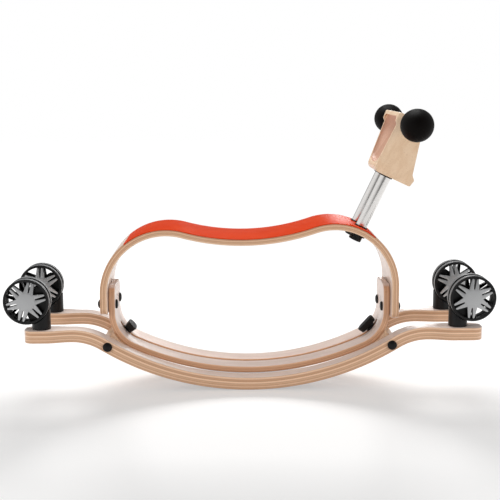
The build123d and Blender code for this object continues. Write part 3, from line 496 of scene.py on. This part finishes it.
# ---------------------------------------------------------------- bolt caps
# Black caps pressed over the bolt heads and nuts: four on the rockers' sides, and eight in pairs on
# both faces of the uprights. Each is a dome with a short straight rim; those outside cover nuts and
# stand higher.
def satin_black(name, colour, rough_low, rough_high, grit, gloss=0.25, rim=None):
    """Injection-moulded black plastic or rubber, spark-eroded mould: near black with a fine grit that
    breaks its sheen, and slightly cloudy gloss from handling."""
    material, tree, shader = finish_named(name)
    place = add(tree, "TexCoord").outputs["Object"]
    fine = add(tree, "TexNoise", [("Vector", place), ("Scale", grit), ("Detail", 2.0)]).outputs[0]
    cloud = add(tree, "TexNoise", [("Vector", place), ("Scale", 60.0), ("Detail", 2.0)]).outputs[0]
    mixed = add(tree, "Mix", [("Factor", 0.5), ("A", fine), ("B", cloud)], data_type="FLOAT").outputs[0]
    body = ramp(tree, mixed, (0.3, colour[0]), (0.7, colour[1]))
    # The rim colour is mixed in where the strip attribute's Z is set: painted sheen, used for the tyre tread's grey
    # crown.
    if rim:
        out = add(tree, "Attribute", attribute_name="strip").outputs["Vector"]
        out = add(tree, "SeparateXYZ", [("Vector", out)]).outputs["Z"]
        body = add(tree, "Mix", [("Factor", out), ("A", body), ("B", linear(rim))],
                   data_type="RGBA").outputs["Result"]
    tree.links.new(body, shader.inputs["Base Color"])
    rough = add(tree, "MapRange", [("Value", mixed), ("From Min", 0.3), ("From Max", 0.7),
                                   ("To Min", rough_low), ("To Max", rough_high)]).outputs[0]
    tree.links.new(rough, shader.inputs["Roughness"])
    bump = add(tree, "Bump", [("Height", fine), ("Strength", 0.15), ("Distance", 0.0002)]).outputs[0]
    tree.links.new(bump, shader.inputs["Normal"])
    shader.inputs["IOR"].default_value = 1.5
    shader.inputs["Specular IOR Level"].default_value = gloss
    return material


def turned(profile, origin, axis, around=48):
    """A solid of revolution: each profile point (radius, height) is carried round the axis through the
    origin, as origin + height*axis + radius*(cos t*p + sin t*q), with p and q square to the axis."""
    profile, axis = np.array(profile, float), np.array(axis, float) / np.linalg.norm(axis)
    p = np.cross(axis, (0, 1, 0) if abs(axis[1]) < 0.9 else (1, 0, 0))
    p /= np.linalg.norm(p)
    q = np.cross(axis, p)
    t = np.linspace(0, 2 * np.pi, around, endpoint=False)
    points = (np.array(origin) + profile[:, 1, None, None] * axis
              + profile[:, 0, None, None] * (np.cos(t)[:, None] * p + np.sin(t)[:, None] * q))
    return points.reshape(-1, 3), ring_faces(len(profile), around), points.reshape(-1, 3)


def rounded(radius, low, high, edge_low, edge_high, steps=5):
    """Profile of a short cylinder from one height to another, its two rims eased on quarter circles."""
    t = np.linspace(0, np.pi / 2, steps)
    return np.concatenate([
        [(radius * 0.02, low)],
        np.stack([radius - edge_low + edge_low * np.sin(t), low + edge_low - edge_low * np.cos(t)], -1),
        np.stack([radius - edge_high + edge_high * np.cos(t), high - edge_high + edge_high * np.sin(t)], -1),
        [(radius * 0.02, high)]])


cap_radius, cap_height, cap_gap, wall_share, outer_rise, bolt_radius = 0.0067, 0.0036, 0.0001, 0.35, 1.8, 0.003
black_nylon = satin_black("moulded_black_nylon_cap", ("#070606", "#0d0b0b"), 0.3, 0.45, 2500.0)
dome = np.linspace(0, np.pi / 2, 9)
cap_profile = np.concatenate([[(1e-5, 0), (cap_radius, 0), (cap_radius, cap_height * wall_share)],
                              np.stack([cap_radius * np.cos(dome[1:-1]),
                                        cap_height * (wall_share + (1 - wall_share) * np.sin(dome[1:-1]))], -1),
                              [(1e-5, cap_height)]])
rods_low, rods_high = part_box("crossbar_rods")
side_low, side_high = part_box("side_bolts")
rod_x, rod_z = rods_high[0] - bolt_radius, (rods_low[2] + rods_high[2]) / 2
caps = []
for end in (1, -1):
    for side in (1, -1):
        caps.append(turned(cap_profile, (end * rod_x, side * (rocker_outer + cap_gap), rod_z), (0, side, 0)))
    bolt_z = side_low[2] + bolt_radius if end > 0 else side_high[2] - bolt_radius
    outer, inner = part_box("seat_frame")[1][0], cradle_end - cradle_ply
    for y in (side_low[1] + bolt_radius, side_high[1] - bolt_radius):
        caps.append(turned(cap_profile * (1, outer_rise), (end * (outer + cap_gap), y, bolt_z), (end, 0, 0)))
        caps.append(turned(cap_profile, (end * (inner - cap_gap), y, bolt_z), (-end, 0, 0)))
domes = mesh_piece("domed_caps", *joined(*caps)[:2], black_nylon, sharp=50)
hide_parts("bolt_caps")
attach(domes, "horse")


# ---------------------------------------------------------------- clamp knobs
# Two black winged knobs moulded over steel screws. Each passes through the cradle's slot at a corner
# bend and pulls the cradle down on its crossbar.
black_abs = satin_black("moulded_black_abs_knob", ("#080707", "#0f0d0d"), 0.35, 0.5, 2200.0)
for end in ("front", "back"):
    wing = eased_copy(f"clamp_knob_{end}", f"wing_knob_{end}", 0.0006, black_abs)
    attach(wing, f"clamp_{end}")
    wear(f"clamp_stud_{end}", zinc)


# ---------------------------------------------------------------- handle tubes
# Two bright stainless tubes stand square on the front hump, each held by a black thumb knob from
# below. A black ring seats each tube on the seat, and a black collar closes it under the head.
lean = math.radians(25.5)
up_tube = np.array([math.sin(lean), 0, math.cos(lean)])
forward_tube = np.array([math.cos(lean), 0, -math.sin(lean)])
hump = np.array([front_hump[0], 0, front_hump[1]])
tube_radius, ring_height, free_length, socket = 0.00825, 0.0016, 0.080, 0.042
head_start = front_radius + ring_height + free_length


def polished_stainless():
    """Stainless tube, drawn, then polished round its girth: a bright mirror a little drawn out round the
    tube, with very fine polishing marks."""
    material, tree, shader = finish_named("polished_stainless_tube")
    place = add(tree, "TexCoord").outputs["Object"]
    turned_in = add(tree, "Mapping", [("Vector", place), ("Rotation", (0, -lean, 0))],
                    vector_type="TEXTURE").outputs[0]
    drawn = add(tree, "Mapping", [("Vector", turned_in), ("Scale", (200, 200, 2500))]).outputs[0]
    marks = add(tree, "TexNoise", [("Vector", drawn), ("Scale", 1.0), ("Detail", 2.0)]).outputs[0]
    tree.links.new(ramp(tree, marks, (0.3, "#d6d3d0"), (0.7, "#e6e4e2")), shader.inputs["Base Color"])
    rough = add(tree, "MapRange", [("Value", marks), ("To Min", 0.16), ("To Max", 0.26)]).outputs[0]
    tree.links.new(rough, shader.inputs["Roughness"])
    shader.inputs["Metallic"].default_value = 1.0
    return material


# Profiles as (radius, height over the hump's centre); ring and collar clear the tube by the bore's gap.
bore, ring_top = tube_radius + 0.00005, front_radius + ring_height
tube_profile = rounded(tube_radius, front_radius + 0.0003, head_start + socket, 0.0006, 0.0006)
ring_profile = [(bore, front_radius - 0.0002), (0.0093, front_radius - 0.0003), (0.0097, front_radius + 0.0003),
                (0.0097, front_radius + 0.0011), (0.0092, ring_top), (bore, ring_top)]
collar_profile = [(bore, head_start - 0.0018), (0.0097, head_start - 0.0018), (0.0101, head_start - 0.0013),
                  (0.0101, head_start - 0.0001), (bore, head_start - 0.0001)]
tubes, rings, collars = [], [], []
for side in (1, -1):
    foot = hump + np.array([0, side * 0.025, 0])
    tubes.append(turned(tube_profile, foot, up_tube, 64))
    rings.append(turned(ring_profile, foot, up_tube))
    collars.append(turned(collar_profile, foot, up_tube))
for name, node, shells, finish, slot in (
        ("bright_tubes", "handle_tubes", tubes, polished_stainless(), "steel_tube"),
        ("tube_rings", "base_rings", rings, black_abs, "black_plastic"),
        ("tube_collars", "head_collars", collars, black_abs, "black_plastic")):
    piece = mesh_piece(name, *joined(*shells)[:2], finish)
    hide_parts(node)
    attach(piece, "horse")
for side in ("left", "right"):
    nut = eased_copy(f"thumb_knob_{side}", f"tube_nut_{side}", 0.0005, black_abs)
    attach(nut, f"handle_nut_{side}")
    wear(f"thumb_stud_{side}", zinc)


# ---------------------------------------------------------------- head
# A block of solid beech on top of the tubes, wider at the top than at the bottom, with a chin at the
# front and a lip at the top. Its rider's side is scooped out into a smooth V between two cheeks.
head_beech = solid_beech("lacquered_beech_head", "#efd2b2", "#e6c5a2", "#c9a27e", (0, -lean, 0))
head_piece = eased_copy("head", "carved_head", 0.0018, head_beech, 4)
rear_bottom, rear_top, half_bottom, half_top, head_height = 0.022, 0.0245, 0.038, 0.066, 0.088


def in_head(points):
    """Height over the head's underside, way forward from the tubes, and distance from the middle plane."""
    offset = points - hump
    return offset @ up_tube - head_start, offset @ forward_tube, np.abs(offset[:, 1])


# The rear bottom edge is sanded round: the mesh is cut in slices near it, and what stands out of a
# quarter circle is moved on to it.
heel = 0.0075
shape = bmesh.new()
shape.from_mesh(head_piece.data)
heel_point = hump + up_tube * (head_start + heel) + forward_tube * (heel - rear_bottom)
for t in np.linspace(0.08, 1.0, 9) * np.pi / 4:
    for axis in (up_tube, forward_tube):
        bmesh.ops.bisect_plane(shape, geom=shape.verts[:] + shape.edges[:] + shape.faces[:],
                               plane_co=heel_point - axis * heel * math.tan(t), plane_no=axis)
shape.to_mesh(head_piece.data)
shape.free()
places = np.empty(3 * len(head_piece.data.vertices))
head_piece.data.vertices.foreach_get("co", places)
places = places.reshape(-1, 3)
over, ahead, aside = in_head(places)
over, ahead = over - heel, ahead + rear_bottom - heel
reach = np.hypot(over, ahead)
pull = np.where((over < 0) & (ahead < 0) & (reach > heel), heel / np.maximum(reach, 1e-9) - 1, 0)
places += pull[:, None] * (over[:, None] * up_tube + ahead[:, None] * forward_tube)
head_piece.data.vertices.foreach_set("co", places.ravel())
head_piece.data.update()

# The scoop's faces take a darker beech with no coat: the darker colour is painted shade for the recess, and without
# the coat they are dull.
scoop_shade_beech = solid_beech("beech_scoop_painted_shade", "#cfa68e", "#c0937a", "#9d7056", (0, -lean, 0), coat=0.0)
head_piece.data.materials.append(scoop_shade_beech)
centres = np.empty(3 * len(head_piece.data.polygons))
head_piece.data.polygons.foreach_get("center", centres)
over, ahead, aside = in_head(centres.reshape(-1, 3))
share = over / head_height
rear, half = rear_bottom + (rear_top - rear_bottom) * share, half_bottom + (half_top - half_bottom) * share
scoop_floor, scoop_top, scoop_front, cheek_rim, tube_clear = 0.0102, 0.082, 0.004, 0.002, 0.0086
# Painted shade: faces inside the scoop, clear of its floor, top, front, cheek rims and tube bores, take the darker
# beech.
shaded_scoop_faces = (over > scoop_floor) & (over < scoop_top) & (ahead > 0.0004 - rear) & (ahead < -scoop_front)
shaded_scoop_faces &= (aside < half - cheek_rim) & (np.hypot(ahead, aside - 0.025) > tube_clear)
head_piece.data.polygons.foreach_set("material_index", shaded_scoop_faces.astype(np.int32))
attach(head_piece, "horse")


# ---------------------------------------------------------------- grips
# Two soft black rubber grips, one on each side of the head, moulded as a short neck that swells into
# an egg. Each is pressed on a steel peg that is screwed into the head's side.
rubber = satin_black("moulded_black_rubber_grip", ("#060403", "#0a0706"), 0.5, 0.64, 1800.0, 0.07)
for side, way in (("left", 1), ("right", -1)):
    low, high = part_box(f"grip_{side}")
    bulb = (high[2] - low[2]) / 2
    centre = ((low[0] + high[0]) / 2, 0, (low[2] + high[2]) / 2)
    reach = max(abs(low[1]), abs(high[1]))
    neck, egg = 0.010, 0.0265
    t = np.linspace(math.asin(neck / bulb), np.pi, 40)
    profile = np.stack([bulb * np.sin(t), reach - egg - egg * np.cos(t)], -1)
    start = min(abs(low[1]), abs(high[1]))
    profile = np.concatenate([[(1e-5, start), (neck, start)], profile[:-1], [(1e-5, reach)]])
    grip = mesh_piece(f"egg_grip_{side}", *turned(profile, centre, (0, way, 0), 64)[:2], rubber)
    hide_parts(f"grip_{side}")
    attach(grip, "horse")


# ---------------------------------------------------------------- castors
# Four twin-wheel swivel castors, moulded in black nylon. The housing turns on a zinc-plated stem bolt;
# its web between the wheels carries the axle. Each wheel has a tread ring and a silvered star.
castor_black = satin_black("moulded_black_nylon_castor", ("#0a0a0b", "#131314"), 0.32, 0.46, 1500.0)
# The grey rim colour on the tread's crown is painted sheen for the highlight from above, not a colour of the tread.
tread_painted_sheen = satin_black("polyurethane_tread_painted_sheen", ("#111112", "#1b1b1c"), 0.42, 0.52, 1500.0, rim="#7b7c7d")


def silver_lacquer():
    """Silver-lacquered ABS: fine aluminium flake in a clear coat over moulded plastic, so it is bright
    grey and softly metallic, without a mirror."""
    material, tree, shader = finish_named("silver_lacquered_abs")
    place = add(tree, "TexCoord").outputs["Object"]
    flake = add(tree, "TexNoise", [("Vector", place), ("Scale", 2600.0), ("Detail", 1.0)]).outputs[0]
    tree.links.new(ramp(tree, flake, (0.3, "#a9aaab"), (0.7, "#bcbdbe")), shader.inputs["Base Color"])
    rough = add(tree, "MapRange", [("Value", flake), ("To Min", 0.36), ("To Max", 0.48)]).outputs[0]
    tree.links.new(rough, shader.inputs["Roughness"])
    shader.inputs["Metallic"].default_value = 0.75
    shader.inputs["IOR"].default_value = 1.5
    shader.inputs["Coat Weight"].default_value = 0.3
    shader.inputs["Coat Roughness"].default_value = 0.15
    return material


silver = silver_lacquer()
wheel_turns = {"back_right": 14, "back_left": 30, "front_right": 25, "front_left": 41}
notch, arm_tip, arm_half, prong_half, slot_start_r, slot_root = 0.0142, 0.0283, 0.0047, 0.0019, 0.0133, 0.0008
arm_nip, prong_nip, crown, band, tyre_around = 0.0008, 0.0006, 0.0014, 0.0024, 96
button_wide, button_top, button_ease, button_rise = 0.0128, 0.0125, 0.0003, 0.0002


def star_shell(centre, outward, turn, low, high, grow=0.0, soften=0.0005):
    """A six-armed star as a plate: its outline runs from notch to arm tip, down one side of the arm's slot
    and up the other, six times round, and is carried from one height to another with eased rims."""
    lower = np.array([(arm_tip - arm_nip, -arm_half - grow), (arm_tip, -arm_half - grow + arm_nip),
                      (arm_tip, -prong_half - prong_nip), (arm_tip - arm_nip, -prong_half),
                      (slot_start_r + prong_nip, -slot_root)])
    arm = np.concatenate([[(notch * math.cos(math.pi / 6), -notch * math.sin(math.pi / 6))], lower,
                          [(slot_start_r, 0)], lower[::-1] * (1, -1)])
    angles = np.radians(turn) + np.arange(6) * np.pi / 3
    outline = np.concatenate([np.stack([arm[:, 0] * np.cos(a) - arm[:, 1] * np.sin(a),
                                        arm[:, 0] * np.sin(a) + arm[:, 1] * np.cos(a)], -1) for a in angles])
    ahead, behind = np.roll(outline, -1, 0) - outline, outline - np.roll(outline, 1, 0)
    normal = ahead / np.linalg.norm(ahead, axis=1)[:, None] + behind / np.linalg.norm(behind, axis=1)[:, None]
    normal = np.stack([normal[:, 1], -normal[:, 0]], -1)
    normal /= np.maximum(np.linalg.norm(normal, axis=1)[:, None], 1e-9)
    rings = [(low, soften), (low + soften, 0.0), (high - soften, 0.0),
             (high - 0.3 * soften, 0.3 * soften), (high, soften)]
    points = np.concatenate([np.stack([(outline - inset * normal)[:, 0], np.full(len(outline), height),
                                       -outward * (outline - inset * normal)[:, 1]], -1) for height, inset in rings])
    points[:, 1] *= outward
    points += centre
    return points, ring_faces(len(rings), len(outline)), points


for corner in ("back_left", "back_right", "front_left", "front_right"):
    housing = eased_copy(f"castor_housing_{corner}", f"swivel_housing_{corner}", 0.0006, castor_black)
    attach(housing, f"castor_{corner}")
    wear(f"castor_axle_{corner}", zinc)
    for place in ("inner", "outer"):
        body = f"wheel_{corner}_{place}"
        spokes = eased_copy(body, f"spoked_{body}", 0.0004, castor_black, 2)
        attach(spokes, body)
        trim_low, trim_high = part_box(f"wheel_trim_{corner}_{place}")
        low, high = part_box(f"tyre_{corner}_{place}")
        hub = ((low[0] + high[0]) / 2, 0, (low[2] + high[2]) / 2)
        outward = (1 if corner.endswith("left") else -1) * (1 if place == "outer" else -1)
        base, face = sorted((outward * trim_low[1], outward * trim_high[1]))
        plate = star_shell(hub, outward, wheel_turns[corner], base, face)
        t = np.linspace(0, np.pi / 2, 4)
        rim = zip(button_top + button_ease * np.cos(t), face + button_rise * np.sin(t))
        button = turned([(1e-5, face - 0.0004), (button_wide, face - 0.0004), *rim, (1e-5, face + button_rise)],
                        hub, (0, outward, 0), 64)
        star = mesh_piece(f"star_{body}", *joined(plate, button)[:2], silver)
        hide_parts(f"wheel_trim_{corner}_{place}")
        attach(star, body)
        backing = star_shell(hub, outward, wheel_turns[corner], base - 0.0050, base - 0.0001, 0.0002)
        backing = mesh_piece(f"backing_{body}", backing[0], backing[1], castor_black)
        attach(backing, body)
        radius, width = (high[2] - low[2]) / 2, high[1] - low[1]
        centre = ((low[0] + high[0]) / 2, (low[1] + high[1]) / 2, (low[2] + high[2]) / 2)
        t = np.linspace(0, np.pi / 2, 7)
        half_profile = np.stack([radius - crown + crown * np.cos(t), width / 2 - crown + crown * np.sin(t)], -1)
        profile = np.concatenate([[(radius - band, -width / 2)], half_profile[::-1] * (1, -1), half_profile,
                                  [(radius - band, width / 2)]])
        shell = turned(profile, centre, (0, 1, 0), tyre_around)
        # The two end caps give way to an inside wall, and the tread's middle carries a grey band that is painted
        # sheen, standing for the highlight the light above gives the tread.
        count, last = len(shell[1]) - 2, tyre_around * (len(profile) - 1)
        inside = [[last + j, last + (j + 1) % tyre_around, (j + 1) % tyre_around, j] for j in range(tyre_around)]
        sheen_band = (np.abs(profile[:, 1]) < width / 2 - 0.6 * crown) & (profile[:, 0] > radius - crown)
        across = np.repeat(sheen_band, tyre_around)
        shade = np.stack([0 * across, 0 * across, across], -1).astype(np.float32)
        tyre = mesh_piece(f"tread_{corner}_{place}", shell[0], shell[1][:count] + inside, tread_painted_sheen, shade)
        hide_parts(f"tyre_{corner}_{place}")
        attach(tyre, body)


# ---------------------------------------------------------------- floor and light
# A white sweep under the toy, and soft lamps: one above it, one at each side in front,
# one behind for the paper, and a narrow card for the tubes' bright line.
def paper():
    """Matt white backdrop paper: plain white where it is seen, with the toy's soft shadow on it."""
    material, tree, shader = finish_named("matt_white_paper")
    shader.inputs["Base Color"].default_value = linear("#f2f1f0")
    shader.inputs["Roughness"].default_value = 0.9
    rays = add(tree, "LightPath").outputs
    seen = add(tree, "Math", [(0, rays["Is Camera Ray"]), (1, rays["Is Glossy Ray"])], operation="MAXIMUM").outputs[0]
    seen = add(tree, "Math", [(0, seen), (1, rays["Is Transmission Ray"])], operation="MAXIMUM").outputs[0]
    place = add(tree, "TexCoord").outputs["Object"]
    away = add(tree, "VectorMath", [(0, place)], operation="LENGTH").outputs["Value"]
    near = add(tree, "MapRange", [("Value", away), ("From Min", 0.5), ("From Max", 1.2),
                                  ("To Min", 0.3), ("To Max", 1.0)]).outputs[0]
    share = add(tree, "Math", [(0, seen), (1, near)], operation="MULTIPLY").outputs[0]
    lift = add(tree, "MapRange", [("Value", away), ("From Min", 0.5), ("From Max", 1.2),
                                  ("To Min", 1.35), ("To Max", 1.03)]).outputs[0]
    glow = add(tree, "Emission", [("Color", (1, 1, 1, 1)), ("Strength", lift)]).outputs[0]
    mixed = add(tree, "MixShader", [(0, share), (1, shader.outputs[0]), (2, glow)]).outputs[0]
    tree.links.new(mixed, tree.nodes["Material Output"].inputs["Surface"])
    return material


u, v = np.meshgrid(np.linspace(-6, 6, 3), np.linspace(-6, 6, 3), indexing="ij")
floor_mesh = bpy.data.meshes.new("floor")
floor_mesh.from_pydata(np.stack([u, v, 0 * u - 0.0003], -1).reshape(-1, 3).tolist(), [],
                       [(3 * i + j, 3 * i + j + 3, 3 * i + j + 4, 3 * i + j + 1) for i in range(2) for j in range(2)])
floor_mesh.materials.append(paper())
floor = bpy.data.objects.new("floor", floor_mesh)
bpy.context.collection.objects.link(floor)

world = bpy.data.worlds.new("studio")
bpy.context.scene.world = world
world.use_nodes = True
tree = world.node_tree
rays = add(tree, "LightPath").outputs
seen = add(tree, "Math", [(0, rays["Is Camera Ray"]), (1, rays["Is Transmission Ray"])],
           operation="MAXIMUM").outputs[0]
# Mirrored by the gloss of the pieces: a white wall at each side, and a dim room before and behind.
walls = add(tree, "SeparateXYZ", [("Vector", add(tree, "TexCoord").outputs["Generated"])]).outputs["X"]
walls = add(tree, "MapRange", [("Value", walls), ("From Min", -1.0), ("From Max", 1.0)]).outputs[0]
walls = ramp(tree, walls, (0.06, "#ffffff"), (0.2, "#e0e0e0"), (0.34, "#808080"), (0.62, "#707070"),
             (0.8, "#c8c8c8"), (0.94, "#d8d8d8"))
gloss = add(tree, "Mix", [("Factor", rays["Is Glossy Ray"]), ("A", 0.42), ("B", walls)], data_type="FLOAT").outputs[0]
strength = add(tree, "Mix", [("Factor", seen), ("A", gloss), ("B", 1.0)], data_type="FLOAT").outputs[0]
tree.links.new(strength, tree.nodes["Background"].inputs["Strength"])
tree.nodes["Background"].inputs["Color"].default_value = (1, 1, 1, 1)


# The toy's lamps are flagged off the paper. One low lamp behind the toy lights the paper alone, so the
# only shadow falls forward, clear of the rockers.
flagged_off, paper_only = bpy.data.collections.new("flagged_off"), bpy.data.collections.new("paper_only")
for group, state in ((flagged_off, "EXCLUDE"), (paper_only, "INCLUDE")):
    group.objects.link(floor)
    group.collection_objects[0].light_linking.link_state = state


def soft_lamp(name, place, aim, width, height, power, lit=flagged_off, mirrored=True):
    """A soft box at a place, turned to face a point, for one group of what it lights."""
    lamp = bpy.data.lights.new(name, "AREA")
    lamp.shape, lamp.size, lamp.size_y, lamp.energy = "RECTANGLE", width, height, power
    holder = bpy.data.objects.new(name, lamp)
    holder.location, holder.visible_glossy = place, mirrored
    holder.rotation_euler = (Vector(aim) - Vector(place)).to_track_quat("-Z", "Y").to_euler()
    bpy.context.collection.objects.link(holder)
    holder.light_linking.receiver_collection = lit


soft_lamp("key_softbox", (-0.05, 0.85, 2.05), (0, 0, 0.1), 1.1, 1.1, 34)
soft_lamp("left_softbox", (-2.3, -1.6, 1.0), (0, 0, 0.2), 1.6, 1.4, 26, mirrored=False)
soft_lamp("right_softbox", (2.4, -1.7, 1.0), (0, 0, 0.2), 1.6, 1.4, 30, mirrored=False)
soft_lamp("paper_softbox", (-0.02, 3.0, 1.35), (0, 0, 0), 1.6, 0.8, 190, paper_only, mirrored=False)
soft_lamp("far_card", (1.05, 6.0, 1.7), (0.1, 0, 0.23), 0.6, 2.6, 26)

bpy.context.scene.view_settings.view_transform = "Standard"
